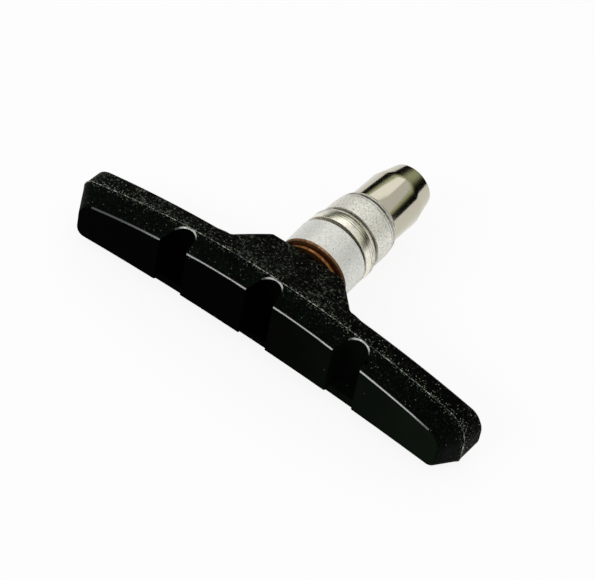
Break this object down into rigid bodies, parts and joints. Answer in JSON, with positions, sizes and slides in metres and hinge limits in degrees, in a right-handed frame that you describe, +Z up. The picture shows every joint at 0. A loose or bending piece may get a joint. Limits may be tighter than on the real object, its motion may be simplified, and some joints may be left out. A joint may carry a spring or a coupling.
{
  "type": "bicycle rim brake pad",
  "caption": "Curved rubber rim brake pad with cross grooves on a threaded stud, with domed and dished washers for setting its angle and a cap nut with a hexagon socket.",
  "frame": {"origin": "on the stud's axis at the outer face of the thick dished washer, where the brake arm is clamped", "axes": "+X along the pad, +Y along the stud away from the rim, +Z up with the pad curving over the wheel"},
  "size_m": [0.0722, 0.0393, 0.0135],
  "materials": {
    "rubber": "moulded, fine grain on the base, smoother on the friction block",
    "plate_steel": "plain pressed steel",
    "stud_steel": "zinc plated",
    "yellow_zinc": "yellow-brown zinc plate",
    "blasted_alloy": "matte, bead blasted",
    "bright_zinc": "bright zinc plate with a yellow tint",
    "cup_alloy": "matte, bead blasted",
    "nut_chrome": "bright plated"
  },
  "bodies": {
    "root": {"rubber_pad": "rubber", "backing_plate": "plate_steel", "stud": "stud_steel", "inner_domed_washer": "yellow_zinc", "thick_dished_washer": "blasted_alloy", "outer_domed_washer": "bright_zinc", "outer_dished_washer": "cup_alloy", "cap_nut": "nut_chrome"}
  },
  "joints": []
}
